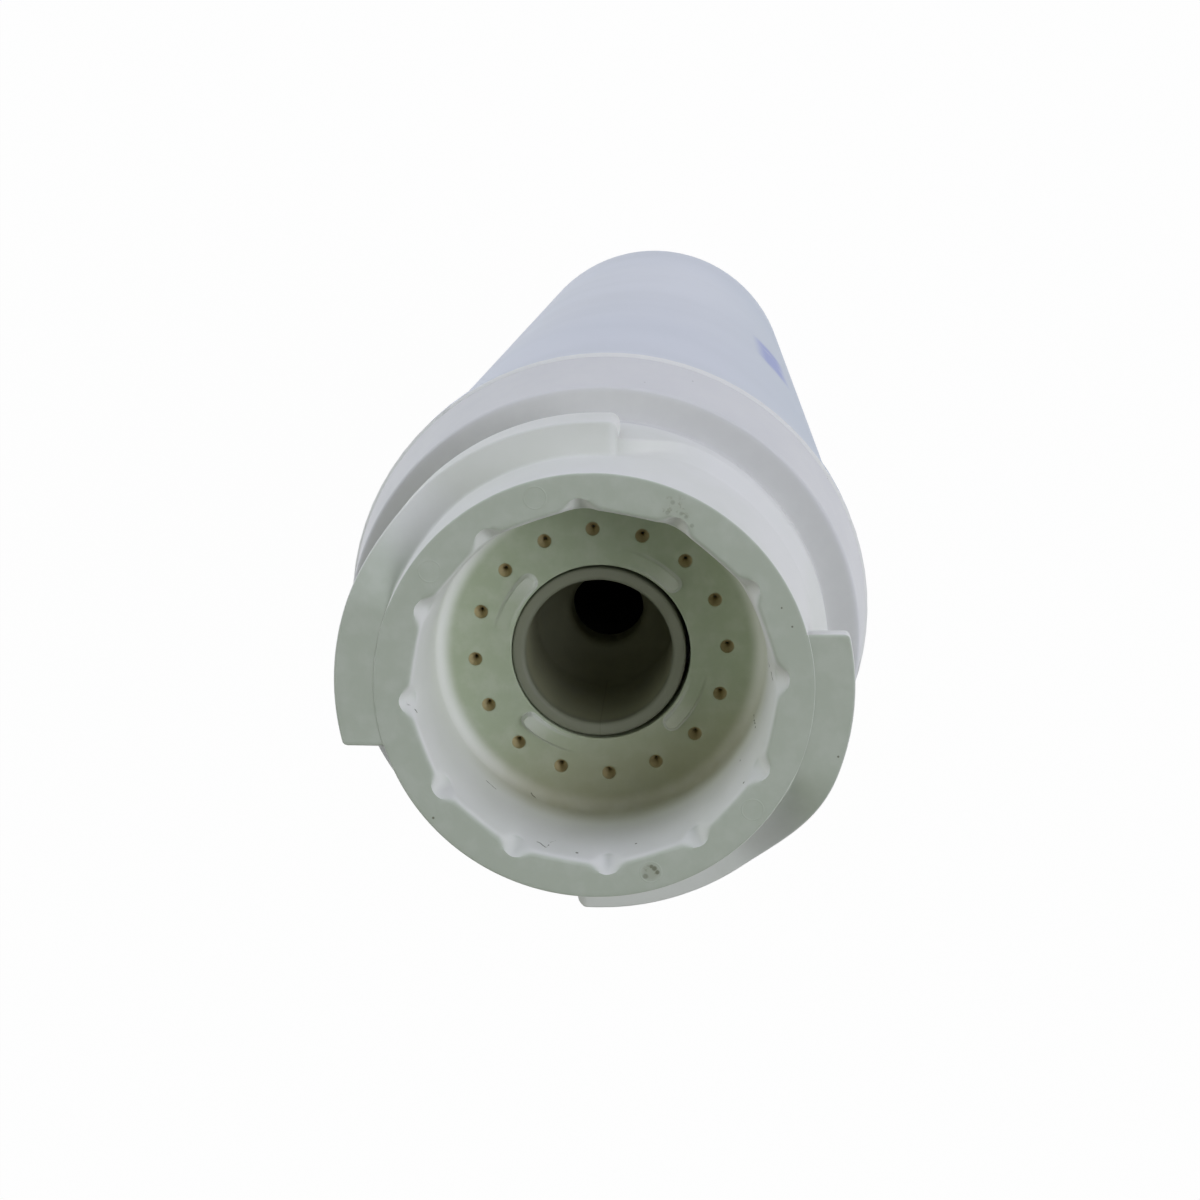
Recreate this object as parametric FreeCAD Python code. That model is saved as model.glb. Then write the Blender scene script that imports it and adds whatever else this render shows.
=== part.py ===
import FreeCAD, Part
import math
import os

os.makedirs("parts", exist_ok=True)

Vector = FreeCAD.Vector
AXIS_POINT = Vector(0, 0, 0)
UP = Vector(0, 0, 1)

# Driving sizes in mm. Heights run up from the foot, depths run down from the front face of the neck.
# Sump
BODY_RADIUS = 30.4
BODY_WALL = 2.4
SEAM_HEIGHT = 236.0
FLANGE_STEP = 0.9
FLANGE_HEIGHT = 4.6
BASE_WALL = 3.6
BASE_ROUND = 9.0
BASE_CHAMFER = 3.0
FOOT_WIDTH = 4.4
FOOT_RECESS = 1.0
RIB_COUNT = 6
RIB_WIDTH = 2.0
RIB_HEIGHT = 9.4
GATE_RADIUS = 1.4
GATE_TIP_RADIUS = 1.0

# Head cap
COLLAR_HEIGHT = 14.0
COLLAR_INSET = 2.1
NECK_HEIGHT = 20.0
NECK_RADIUS = 23.0
NECK_DRAFT = 0.95
NECK_WALL = 4.6
SHOULDER_CHAMFER = 0.3
EDGE_CHAMFER = 0.25
CAP_WALL = 3.0
RING_STEP = 1.45
RING_HEIGHT = 4.0
RING_SLOPE = 4.0
SEAM_CHAMFER = 0.35
PILOT_LENGTH = 5.0
PILOT_WALL = 1.5
PILOT_CLEARANCE = 0.15

# Twist-lock lugs on the neck
LUG_COUNT = 2
LUG_REACH = 4.2
LUG_ROOT_SINK = 1.4
LUG_TIP_THICKNESS = 1.9
LUG_THICKNESS = 7.0
LUG_DROP = 7.0
LUG_SET_BACK = 0.1
LUG_START_OFFSET = 6.1
LUG_END_OFFSET = 2.5
LUG_TRIM_ANGLE = 4.0
LUG_FRONT_FALL = -20.0
LUG_BACK_FALL = 8.0
LUG_LOCK_ANGLE = -55.0
LUG_EDGE_CHAMFER = 0.3
LUG_SECTIONS = 24
RAMP_START_ANGLE = -93.0
RAMP_END_ANGLE = -117.0
RAMP_INSET = 0.1
RAMP_SINK = 0.4
RAMP_SECTIONS = 9

# Socket in the neck
SOCKET_DEPTH = 15.2
SOCKET_CHAMFER = 1.3
FLOOR_WALL = 2.8
LOBE_COUNT = 12
LOBE_PHASE = 3.6
LOBE_RADIUS = 1.3
LOBE_REACH = 0.9
LOBE_DEPTH = 4.4
MOUTH_GROWTH = 0.55
MOUTH_DEPTH = 5.0
LIP_CHAMFER = 0.45
INLET_COUNT = 16
INLET_RADIUS = 0.75
INLET_PHASE = 3.0
INLET_MARGIN = 0.28
PAD_COUNT = 4
PAD_PHASE = 44.5
PAD_SWEEP = 36.0
PAD_FADE_ANGLE = 33.0
PAD_WIDTH = 2.0
PAD_HEIGHT = 0.7
PAD_MARGIN = 0.25

# Outlet tube and its seal
SPIGOT_RADIUS = 9.75
SPIGOT_CLEARANCE = 0.28
SPIGOT_WALL = 1.5
SPIGOT_SET_BACK = 0.1
BORE_STEP = 0.3
BORE_TAPER = 2.4
RIM_CHAMFER = 0.45
OUTLET_HOLE_RADIUS = 4.35
GLAND_WIDTH = 2.05
GLAND_DEPTH = 7.4
BOSS_WALL = 1.3
SEAT_CLEARANCE = 0.3
CORD_DIAMETER = 2.4
CORD_BEVEL = 0.7
SEAL_SPACE = 3.4
SEAT_LENGTH = 7.0
CAP_GAP = 3.2

# Filter element
ELEMENT_SHIFT = Vector(-0.24, 0, 0)
FLOW_GAP = 3.6
DISC_THICKNESS = 3.8
CLOSED_DISC_THICKNESS = 3.4
SKIRT_WALL = 1.2
SKIRT_LENGTH = 6.0
WRAP_THICKNESS = 0.7
WRAP_CLEARANCE = 0.1
BOND_THICKNESS = 0.8
CORE_RADIUS = 6.5
FIN_COUNT = 6
FIN_WIDTH = 2.0
FIN_CLEARANCE = 0.6

# Derived sizes
TOTAL_HEIGHT = SEAM_HEIGHT + COLLAR_HEIGHT + NECK_HEIGHT
SEAM_DEPTH = COLLAR_HEIGHT + NECK_HEIGHT
FLANGE_RADIUS = BODY_RADIUS + FLANGE_STEP
INNER_RADIUS = BODY_RADIUS - BODY_WALL
FLOOR_HEIGHT = FOOT_RECESS + BASE_WALL
RIB_TOP = FLOOR_HEIGHT + RIB_HEIGHT
SHOULDER_RADIUS = FLANGE_RADIUS - COLLAR_INSET
COLLAR_RADIUS = FLANGE_RADIUS - SEAM_CHAMFER
PILOT_RADIUS = INNER_RADIUS - PILOT_CLEARANCE
RING_RADIUS = NECK_RADIUS + NECK_DRAFT + RING_STEP
LUG_RADIUS = NECK_RADIUS + LUG_REACH
SOCKET_RADIUS = NECK_RADIUS - NECK_WALL
FLOOR_UNDERSIDE = SOCKET_DEPTH + FLOOR_WALL
CAVITY_RADIUS = NECK_RADIUS - CAP_WALL
FLOOR_HOLE_RADIUS = SPIGOT_RADIUS + SPIGOT_CLEARANCE
GLAND_RADIUS = SPIGOT_RADIUS + GLAND_WIDTH
BOSS_RADIUS = GLAND_RADIUS + BOSS_WALL
INLET_CIRCLE = BOSS_RADIUS + INLET_RADIUS + INLET_MARGIN
GLAND_TOP = SOCKET_DEPTH + GLAND_DEPTH
SEAT_DEPTH = GLAND_TOP + SEAL_SPACE
BOSS_BOTTOM = SEAT_DEPTH + SEAT_LENGTH
DISC_TOP = BOSS_BOTTOM + CAP_GAP
DISC_BOTTOM = DISC_TOP + DISC_THICKNESS
BORE_RADIUS = SPIGOT_RADIUS - SPIGOT_WALL
BORE_FLOOR = DISC_TOP - BORE_STEP
DISC_RADIUS = INNER_RADIUS - FLOW_GAP
SKIRT_RADIUS = DISC_RADIUS - SKIRT_WALL
WRAP_RADIUS = SKIRT_RADIUS - WRAP_CLEARANCE
BLOCK_RADIUS = WRAP_RADIUS - WRAP_THICKNESS
BLOCK_TOP = TOTAL_HEIGHT - DISC_BOTTOM - BOND_THICKNESS
CLOSED_DISC_TOP = RIB_TOP + CLOSED_DISC_THICKNESS
BLOCK_BOTTOM = CLOSED_DISC_TOP + BOND_THICKNESS


def depth(value):
    """Height of a level that is given as a depth below the front face."""
    return TOTAL_HEIGHT - value


def rounded_wire(corners):
    """Closed outline in the radius and height plane, from (radius, height, bend) corners.

    A bend above zero is a round of that radius, and one below zero is a chamfer of that size.
    """
    joints = []
    count = len(corners)
    for index, (radius, height, bend) in enumerate(corners):
        corner = Vector(radius, 0, height)
        if bend == 0:
            joints.append((corner, None, corner))
            continue
        before = corners[index - 1]
        after = corners[(index + 1) % count]
        back = (Vector(before[0], 0, before[1]) - corner).normalize()
        ahead = (Vector(after[0], 0, after[1]) - corner).normalize()
        if bend < 0:
            joints.append((corner - back * bend, None, corner - ahead * bend))
            continue
        half = back.getAngle(ahead) / 2
        run = bend / math.tan(half)
        middle = (back + ahead).normalize()
        nearest = corner + middle * (bend / math.sin(half) - bend)
        joints.append((corner + back * run, nearest, corner + ahead * run))
    edges = []
    for index, (start, nearest, end) in enumerate(joints):
        if nearest is not None:
            edges.append(Part.Arc(start, nearest, end).toShape())
        elif (end - start).Length > 1e-7:
            edges.append(Part.makeLine(start, end))
        following = joints[(index + 1) % count][0]
        if (following - end).Length > 1e-7:
            edges.append(Part.makeLine(end, following))
    return Part.Wire(edges)


def turned(corners):
    """Solid of revolution about the upright axis."""
    return Part.Face(rounded_wire(corners)).revolve(AXIS_POINT, UP, 360)


def around(shape, count, phase=0.0):
    """Copies of a shape spread evenly round the upright axis."""
    copies = []
    for index in range(count):
        copy = shape.copy()
        copy.rotate(AXIS_POINT, UP, phase + 360.0 * index / count)
        copies.append(copy)
    return copies


def polar(radius, angle, height):
    """Point at a radius and an angle in degrees."""
    turn = math.radians(angle)
    return Vector(radius * math.cos(turn), radius * math.sin(turn), height)


def polygon_points(apothem, height):
    """Corners of a regular polygon with one corner at each lobe, the first one repeated at the end."""
    corner_radius = apothem / math.cos(math.pi / LOBE_COUNT)
    step = 360.0 / LOBE_COUNT
    return [polar(corner_radius, LOBE_PHASE + step * index, height) for index in range(LOBE_COUNT + 1)]


def frustum(low_apothem, low, high_apothem, high):
    """Upright solid with flat sides between two such polygons."""
    bottom = polygon_points(low_apothem, low)
    top = polygon_points(high_apothem, high)
    loops = [bottom, top]
    for index in range(LOBE_COUNT):
        loops.append([bottom[index], bottom[index + 1], top[index + 1], top[index], bottom[index]])
    return Part.Solid(Part.Shell([Part.Face(Part.makePolygon(loop)) for loop in loops]))


def make_sump():
    """Closed tube with a flange at the seam, a ring foot and ribs that carry the element."""
    foot_outer = BODY_RADIUS - BASE_ROUND
    foot_inner = foot_outer - FOOT_WIDTH
    flange_bottom = SEAM_HEIGHT - FLANGE_HEIGHT
    shell = turned([
        (0, FOOT_RECESS, 0),
        (foot_inner - FOOT_RECESS, FOOT_RECESS, 0),
        (foot_inner, 0, 0),
        (BODY_RADIUS, 0, BASE_ROUND),
        (BODY_RADIUS, flange_bottom, 0),
        (FLANGE_RADIUS, flange_bottom + FLANGE_STEP, -EDGE_CHAMFER),
        (FLANGE_RADIUS, SEAM_HEIGHT - SEAM_CHAMFER, 0),
        (FLANGE_RADIUS - SEAM_CHAMFER, SEAM_HEIGHT, 0),
        (INNER_RADIUS, SEAM_HEIGHT, 0),
        (INNER_RADIUS, FLOOR_HEIGHT, -BASE_CHAMFER),
        (0, FLOOR_HEIGHT, 0),
    ])
    rib_start = CORE_RADIUS
    rib_length = INNER_RADIUS + BODY_WALL / 2 - rib_start
    rib = Part.makeBox(rib_length, RIB_WIDTH, RIB_HEIGHT + BASE_WALL / 2)
    rib.translate(Vector(rib_start, -RIB_WIDTH / 2, FLOOR_HEIGHT - BASE_WALL / 2))
    lower_corner = turned([
        (0, FLOOR_HEIGHT - BASE_WALL / 2, 0),
        (INNER_RADIUS + BODY_WALL / 2, FLOOR_HEIGHT - BASE_WALL / 2, -BASE_CHAMFER),
        (INNER_RADIUS + BODY_WALL / 2, SEAM_HEIGHT / 2, 0),
        (0, SEAM_HEIGHT / 2, 0),
    ])
    ribs = [copy.common(lower_corner) for copy in around(rib, RIB_COUNT)]
    gate_root = Vector(0, 0, FOOT_RECESS * 1.5)
    gate = Part.makeCone(GATE_RADIUS, GATE_TIP_RADIUS, FOOT_RECESS, gate_root, Vector(0, 0, -1))
    return shell.fuse(ribs + [gate]).removeSplitter()


def fallen(angle, first, last):
    """Share of a smooth cam fall that is done at an angle, from 0 at the first angle to 1 at the last."""
    share = min(max((angle - first) / (last - first), 0.0), 1.0)
    return share * share * (3 - 2 * share)


def swept(section, first, last, count):
    """Solid through upright sections that turn about the axis from one angle to another."""
    wires = []
    for index in range(count):
        angle = first + (last - first) * index / (count - 1)
        wire = rounded_wire(section(angle))
        wire.rotate(AXIS_POINT, UP, angle)
        wires.append(wire)
    return Part.makeLoft(wires, True, False)


def lug_section(angle):
    """Cut through a lug: its front is flush and then falls, its back is a cam that locks below."""
    root = NECK_RADIUS - LUG_ROOT_SINK
    front = depth(LUG_SET_BACK + LUG_DROP * fallen(angle, LUG_FRONT_FALL, LUG_LOCK_ANGLE))
    lock = LUG_DROP + LUG_THICKNESS - LUG_TIP_THICKNESS
    back = depth(LUG_SET_BACK + LUG_TIP_THICKNESS + lock * fallen(angle, LUG_BACK_FALL, LUG_LOCK_ANGLE))
    return [
        (root, back, 0),
        (LUG_RADIUS, back, -LUG_EDGE_CHAMFER),
        (LUG_RADIUS, front, -LUG_EDGE_CHAMFER),
        (root, front, 0),
    ]


def make_lug():
    """One lug, trimmed square at both ends."""
    root = NECK_RADIUS - LUG_ROOT_SINK
    first = math.degrees(math.asin(LUG_START_OFFSET / root)) + LUG_TRIM_ANGLE
    last = -90 - math.degrees(math.asin(LUG_END_OFFSET / root)) - LUG_TRIM_ANGLE
    cam = swept(lug_section, first, last, LUG_SECTIONS)
    reach = LUG_RADIUS * 2
    keep = Part.makeBox(reach, reach, TOTAL_HEIGHT * 2)
    keep.translate(Vector(-LUG_END_OFFSET, LUG_START_OFFSET - reach, 0))
    return cam.common(keep)


def ramp_section(angle):
    """Cut through the ramp that leads from a lug's end down to the ring at the neck's foot."""
    root = NECK_RADIUS - LUG_ROOT_SINK
    outer = RING_RADIUS - RAMP_INSET
    ring_top = NECK_HEIGHT - RING_HEIGHT
    start = LUG_DROP + LUG_SET_BACK + RAMP_SINK
    fall = ring_top + RAMP_SINK - start
    front = depth(start + fall * fallen(angle, RAMP_START_ANGLE, RAMP_END_ANGLE))
    back = depth(NECK_HEIGHT - RING_HEIGHT / 2)
    return [(root, back, 0), (outer, back, 0), (outer, front, -EDGE_CHAMFER), (root, front, 0)]


def make_ramp():
    """One such ramp."""
    return swept(ramp_section, RAMP_START_ANGLE, RAMP_END_ANGLE, RAMP_SECTIONS)


def mouth_apothem(level):
    """Distance from the axis to the mouth's flats, at a depth below the front face."""
    widest = SOCKET_RADIUS + MOUTH_GROWTH
    narrowest = SOCKET_RADIUS * math.cos(math.pi / LOBE_COUNT)
    return widest + (narrowest - widest) * level / MOUTH_DEPTH


def make_mouth():
    """Twelve-sided mouth of the socket with a scallop at each corner that runs out down the wall."""
    lip_bottom = mouth_apothem(LIP_CHAMFER)
    lip_top = lip_bottom + LIP_CHAMFER * 2
    lip = frustum(lip_bottom, depth(LIP_CHAMFER), lip_top, depth(-LIP_CHAMFER))
    flare = frustum(mouth_apothem(MOUTH_DEPTH), depth(MOUTH_DEPTH), mouth_apothem(0), depth(0))
    corner_share = 1 / math.cos(math.pi / LOBE_COUNT)
    start = Vector(mouth_apothem(0) * corner_share + LOBE_REACH, 0, depth(0))
    end = Vector(mouth_apothem(LOBE_DEPTH) * corner_share, 0, depth(LOBE_DEPTH))
    along = (start - end).normalize()
    inward = Vector(-along.z, 0, along.x)
    foot = end + (inward - along) * LOBE_RADIUS
    scallop = Part.makeCylinder(LOBE_RADIUS, (start - end).Length + LOBE_RADIUS * 3, foot, along)
    return [lip, flare] + around(scallop, LOBE_COUNT, LOBE_PHASE)


def make_pad():
    """One low kidney-shaped ramp on the socket floor, highest at its rounded end."""
    inner = FLOOR_HOLE_RADIUS + PAD_MARGIN
    outer = inner + PAD_WIDTH
    middle = (inner + outer) / 2
    sink = FLOOR_WALL / 4
    base = depth(SOCKET_DEPTH) - sink
    rounded_end = math.degrees(PAD_WIDTH / 2 / middle)
    half = PAD_SWEEP / 2
    outside = Part.Arc(polar(outer, 0, base), polar(outer, half, base), polar(outer, PAD_SWEEP, base))
    inside = Part.Arc(polar(inner, PAD_SWEEP, base), polar(inner, half, base), polar(inner, 0, base))
    nose = Part.Arc(polar(inner, 0, base), polar(middle, -rounded_end, base), polar(outer, 0, base))
    tail = Part.makeLine(polar(outer, PAD_SWEEP, base), polar(inner, PAD_SWEEP, base))
    edges = [outside.toShape(), tail, inside.toShape(), nose.toShape()]
    block = Part.Face(Part.Wire(edges)).extrude(Vector(0, 0, sink + PAD_HEIGHT * 2))
    fade_run = middle * math.sin(math.radians(PAD_FADE_ANGLE))
    tilt = math.degrees(math.atan(PAD_HEIGHT / fade_run))
    reach = outer * 3
    above = Part.makeBox(reach, reach, reach)
    above.translate(Vector(-outer, -outer, depth(SOCKET_DEPTH) + PAD_HEIGHT))
    above.rotate(Vector(0, 0, depth(SOCKET_DEPTH) + PAD_HEIGHT), Vector(1, 0, 0), -tilt)
    return block.cut(above)


def make_head_cap():
    """Neck, lugs, shoulder, collar, socket floor and seal boss in one moulding."""
    pilot_bottom = SEAM_DEPTH + PILOT_LENGTH
    pilot_inner = PILOT_RADIUS - PILOT_WALL
    ceiling = NECK_HEIGHT + CAP_WALL
    body = turned([
        (FLOOR_HOLE_RADIUS, depth(SOCKET_DEPTH), 0),
        (SOCKET_RADIUS, depth(SOCKET_DEPTH), -SOCKET_CHAMFER),
        (SOCKET_RADIUS, depth(0), 0),
        (NECK_RADIUS, depth(0), -EDGE_CHAMFER),
        (NECK_RADIUS + NECK_DRAFT, depth(NECK_HEIGHT - RING_HEIGHT - RING_SLOPE), 0),
        (RING_RADIUS, depth(NECK_HEIGHT - RING_HEIGHT), -EDGE_CHAMFER),
        (RING_RADIUS, depth(NECK_HEIGHT), 0),
        (SHOULDER_RADIUS, depth(NECK_HEIGHT), -SHOULDER_CHAMFER),
        (COLLAR_RADIUS, depth(SEAM_DEPTH - SEAM_CHAMFER), 0),
        (COLLAR_RADIUS - SEAM_CHAMFER, depth(SEAM_DEPTH), 0),
        (PILOT_RADIUS, depth(SEAM_DEPTH), 0),
        (PILOT_RADIUS, depth(pilot_bottom), 0),
        (pilot_inner, depth(pilot_bottom), 0),
        (pilot_inner, depth(ceiling), 0),
        (CAVITY_RADIUS, depth(ceiling), 0),
        (CAVITY_RADIUS, depth(FLOOR_UNDERSIDE), 0),
        (BOSS_RADIUS, depth(FLOOR_UNDERSIDE), 0),
        (BOSS_RADIUS, depth(BOSS_BOTTOM), 0),
        (GLAND_RADIUS, depth(BOSS_BOTTOM), -EDGE_CHAMFER),
        (GLAND_RADIUS, depth(GLAND_TOP), 0),
        (FLOOR_HOLE_RADIUS, depth(GLAND_TOP), 0),
    ])
    solid = body.fuse(around(make_lug(), LUG_COUNT) + around(make_ramp(), LUG_COUNT))
    solid = solid.fuse(around(make_pad(), PAD_COUNT, PAD_PHASE))
    inlet_foot = Vector(INLET_CIRCLE, 0, depth(FLOOR_UNDERSIDE + FLOOR_WALL))
    inlet = Part.makeCylinder(INLET_RADIUS, FLOOR_WALL * 3, inlet_foot)
    return solid.cut(make_mouth() + around(inlet, INLET_COUNT, INLET_PHASE)).removeSplitter()


def make_outlet_end_cap():
    """Upper end cap of the element with the outlet tube."""
    rim = SOCKET_DEPTH + SPIGOT_SET_BACK
    shape = turned([
        (BORE_RADIUS, depth(rim), -RIM_CHAMFER),
        (SPIGOT_RADIUS, depth(rim), -EDGE_CHAMFER),
        (SPIGOT_RADIUS, depth(SEAT_DEPTH), 0),
        (GLAND_RADIUS - SEAT_CLEARANCE, depth(SEAT_DEPTH), 0),
        (GLAND_RADIUS - SEAT_CLEARANCE, depth(DISC_TOP), 0),
        (DISC_RADIUS, depth(DISC_TOP), 0),
        (DISC_RADIUS, depth(DISC_BOTTOM + SKIRT_LENGTH), 0),
        (SKIRT_RADIUS, depth(DISC_BOTTOM + SKIRT_LENGTH), 0),
        (SKIRT_RADIUS, depth(DISC_BOTTOM), 0),
        (OUTLET_HOLE_RADIUS, depth(DISC_BOTTOM), 0),
        (OUTLET_HOLE_RADIUS, depth(BORE_FLOOR), 0),
        (BORE_RADIUS, depth(BORE_FLOOR - BORE_TAPER), 0),
    ])
    shape.translate(ELEMENT_SHIFT)
    return shape


def make_spigot_o_ring():
    """Seal cord as it lies squeezed between the outlet tube and the gland wall."""
    bottom = depth(SEAT_DEPTH)
    top = bottom + CORD_DIAMETER
    inner = SPIGOT_RADIUS - ELEMENT_SHIFT.Length
    cord = turned([
        (inner, bottom, 0),
        (GLAND_RADIUS, bottom, -CORD_BEVEL),
        (GLAND_RADIUS, top, -CORD_BEVEL),
        (inner, top, 0),
    ])
    tube_foot = Vector(0, 0, bottom - CORD_DIAMETER) + ELEMENT_SHIFT
    tube = Part.makeCylinder(SPIGOT_RADIUS, CORD_DIAMETER * 3, tube_foot)
    return cord.cut(tube)


def make_closed_end_cap():
    """Lower end cap of the element, closed, with fins that centre it in the sump."""
    skirt_top = CLOSED_DISC_TOP + SKIRT_LENGTH
    pan = turned([
        (0, RIB_TOP, 0),
        (DISC_RADIUS, RIB_TOP, 0),
        (DISC_RADIUS, skirt_top, 0),
        (SKIRT_RADIUS, skirt_top, 0),
        (SKIRT_RADIUS, CLOSED_DISC_TOP, 0),
        (0, CLOSED_DISC_TOP, 0),
    ])
    fin_start = DISC_RADIUS - SKIRT_WALL / 2
    fin_length = INNER_RADIUS - FIN_CLEARANCE - fin_start
    fin = Part.makeBox(fin_length, FIN_WIDTH, SKIRT_LENGTH)
    fin.translate(Vector(fin_start, -FIN_WIDTH / 2, RIB_TOP + CLOSED_DISC_THICKNESS / 2))
    shape = pan.fuse(around(fin, FIN_COUNT, 180.0 / FIN_COUNT)).removeSplitter()
    shape.translate(ELEMENT_SHIFT)
    return shape


def element_ring(inner, outer, bottom, top):
    """Plain ring or disc of the element."""
    shape = turned([(inner, bottom, 0), (outer, bottom, 0), (outer, top, 0), (inner, top, 0)])
    shape.translate(ELEMENT_SHIFT)
    return shape


PIECES = {
    "housing_sump": make_sump(),
    "head_cap": make_head_cap(),
    "outlet_end_cap": make_outlet_end_cap(),
    "spigot_o_ring": make_spigot_o_ring(),
    "upper_bond": element_ring(CORE_RADIUS, WRAP_RADIUS, BLOCK_TOP, BLOCK_TOP + BOND_THICKNESS),
    "carbon_block": element_ring(CORE_RADIUS, BLOCK_RADIUS, BLOCK_BOTTOM, BLOCK_TOP),
    "prefilter_wrap": element_ring(BLOCK_RADIUS, WRAP_RADIUS, BLOCK_BOTTOM, BLOCK_TOP),
    "lower_bond": element_ring(0, WRAP_RADIUS, CLOSED_DISC_TOP, BLOCK_BOTTOM),
    "closed_end_cap": make_closed_end_cap(),
}

for name, shape in PIECES.items():
    shape.exportStep("parts/" + name + ".step")
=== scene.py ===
import math
import bmesh
import bpy
from mathutils import Matrix, Vector


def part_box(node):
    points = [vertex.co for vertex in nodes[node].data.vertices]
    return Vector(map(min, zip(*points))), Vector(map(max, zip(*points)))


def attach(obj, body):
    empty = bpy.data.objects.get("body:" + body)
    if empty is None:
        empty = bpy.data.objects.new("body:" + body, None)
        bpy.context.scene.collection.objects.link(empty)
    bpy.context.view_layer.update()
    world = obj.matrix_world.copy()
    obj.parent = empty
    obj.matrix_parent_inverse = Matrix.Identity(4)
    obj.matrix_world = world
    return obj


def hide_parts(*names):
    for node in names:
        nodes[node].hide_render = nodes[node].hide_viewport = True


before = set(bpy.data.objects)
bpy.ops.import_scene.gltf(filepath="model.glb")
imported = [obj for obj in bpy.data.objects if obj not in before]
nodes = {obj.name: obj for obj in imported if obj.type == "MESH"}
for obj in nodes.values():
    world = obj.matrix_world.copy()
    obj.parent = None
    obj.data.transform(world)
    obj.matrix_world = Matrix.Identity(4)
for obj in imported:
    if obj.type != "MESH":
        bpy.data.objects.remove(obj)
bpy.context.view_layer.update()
scene = bpy.context.scene

MM = 0.001
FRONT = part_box("head_cap")[1].z

# Camera fitted to the photograph, relative to the centre of the front face
CAMERA_OFFSET = Vector((11.30, 55.63, 189.48)) * MM
CAMERA_LOOK = Vector((-0.03481, -0.24333, -0.96932))
CAMERA_LENS = 57.0
CAMERA_SHIFT = (-0.0299, 0.0133)

# Studio: a dim sky with soft boxes, as azimuth, elevation, spread in degrees, strength and colour
SKY_COLOUR = (0.085, 0.09, 0.08)
SOFT_BOXES = (
    (10.0, 42.0, 30.0, 5.6, (0.89, 0.91, 1.00)),
    (48.0, 6.0, 34.0, 1.9, (0.83, 0.80, 1.00)),
    (120.0, 6.0, 30.0, 3.6, (0.83, 0.90, 1.00)),
    (150.0, 6.0, 30.0, 2.3, (0.80, 0.78, 1.00)),
    (180.0, 28.0, 30.0, 2.2, (0.96, 1.00, 0.88)),
    (-30.0, 22.0, 30.0, 0.8, (0.88, 1.00, 0.80)),
)
FLOOR_HALF = 3.0
FLOOR_COLOUR = (0.80, 0.80, 0.79)
FLOOR_WHITE_SHARE = 0.98

# Plastics and the other materials, as linear colours
CAP_COLOUR = (0.85, 0.85, 0.83)
CAP_SHADE = (0.80, 0.81, 0.77)
# Painted shade with some grime on the front, where the surface faces forward
FACE_SHADE_AND_GRIME = (0.515, 0.56, 0.472)
# Painted shade with some grime on the socket's wall
WALL_SHADE_AND_GRIME = (0.86, 0.87, 0.78)
# Painted shade with some grime on the socket's floor
SOCKET_FLOOR_SHADE_AND_GRIME = (0.43, 0.49, 0.345)
# Painted shade on the shoulder and the collar
SHOULDER_SHADE = (0.70, 0.70, 0.69)
COLLAR_SHADE = (0.755, 0.755, 0.765)
# Painted shade with a silt tone in the socket's lower corner
SILT_AND_SHADE = (0.40, 0.39, 0.25)
# Brown in the inlet holes: residue, and painted warm light seen down them
HOLE_LIGHT_AND_RESIDUE = (0.50, 0.43, 0.24)
SPECK = (0.12, 0.12, 0.07)
SMUDGE = (0.30, 0.31, 0.22)
BODY_COLOUR = (0.625, 0.665, 0.755)
BODY_SHADE = (0.58, 0.62, 0.705)
# Painted shade down the body's +X side
BODY_SIDE_SHADE = (0.47, 0.535, 0.63)
PRINT_COLOUR = (0.16, 0.22, 0.58)
SEAM_GRIME = (0.45, 0.46, 0.44)
# Painted shade: the outlet tube and its bore are darkened for the depth of the socket
TUBE_COLOUR_AND_SHADE = (0.18, 0.19, 0.135)
BORE_FILM_AND_SHADE = (0.275, 0.275, 0.18)

# Print on the body and the middle of its side with painted shade, as an angle in degrees and a depth in mm
PRINT_TURN = 41.5
PRINT_DEPTH = 125.0
SHADED_SIDE_TURN = -5.0

# Finishes of the hidden pieces: node, slot, colour, shade, grain per metre, roughness and relief in metres
HIDDEN_FINISHES = (
    ("closed_end_cap", "end_cap_plastic", (0.66, 0.66, 0.62), (0.58, 0.59, 0.53), 300.0, 0.5, 0.00002),
    ("spigot_o_ring", "seal_rubber", (0.025, 0.025, 0.025), (0.05, 0.05, 0.048), 900.0, 0.5, 0.00002),
    ("carbon_block", "bonded_carbon", (0.02, 0.02, 0.02), (0.06, 0.06, 0.06), 1400.0, 0.8, 0.0002),
    ("prefilter_wrap", "non_woven", (0.78, 0.78, 0.75), (0.66, 0.66, 0.62), 1100.0, 0.9, 0.0001),
)

# Marks on the head cap, in mm and degrees: radius and angle on the front face, angle and depth on the wall.
# A size follows, and on the face the share of dirt, which for a smudge is that of its even film
EJECTOR_MARKS = ((21.2, 105.5), (21.0, 142.5), (20.9, -73.8), (21.1, -38.0))
FACE_SPECKS = (
    (22.2, -140.8, 0.14, 1.0), (21.7, 18.6, 0.11, 1.0), (21.4, 24.6, 0.10, 1.0),
    (26.5, -15.6, 0.12, 1.0), (21.6, 67.3, 0.24, 0.35), (20.4, 67.6, 0.22, 0.35),
    (20.9, 63.9, 0.20, 0.35), (20.8, 62.3, 0.20, 0.35), (20.3, 59.6, 0.22, 0.35),
    (20.6, -72.4, 0.28, 0.85), (21.1, -71.9, 0.24, 0.85), (20.3, -73.0, 0.22, 0.75),
    (21.2, -75.6, 0.30, 0.55),
)
SMUDGES = ((20.9, 66.0, 1.5, 0.12), (20.9, -73.8, 0.95, 0.5))
WALL_SPECKS = ((-96.5, 1.8, 0.16), (-77.0, 3.3, 0.13), (-32.9, 7.4, 0.12), (-33.6, 1.3, 0.14))
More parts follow.
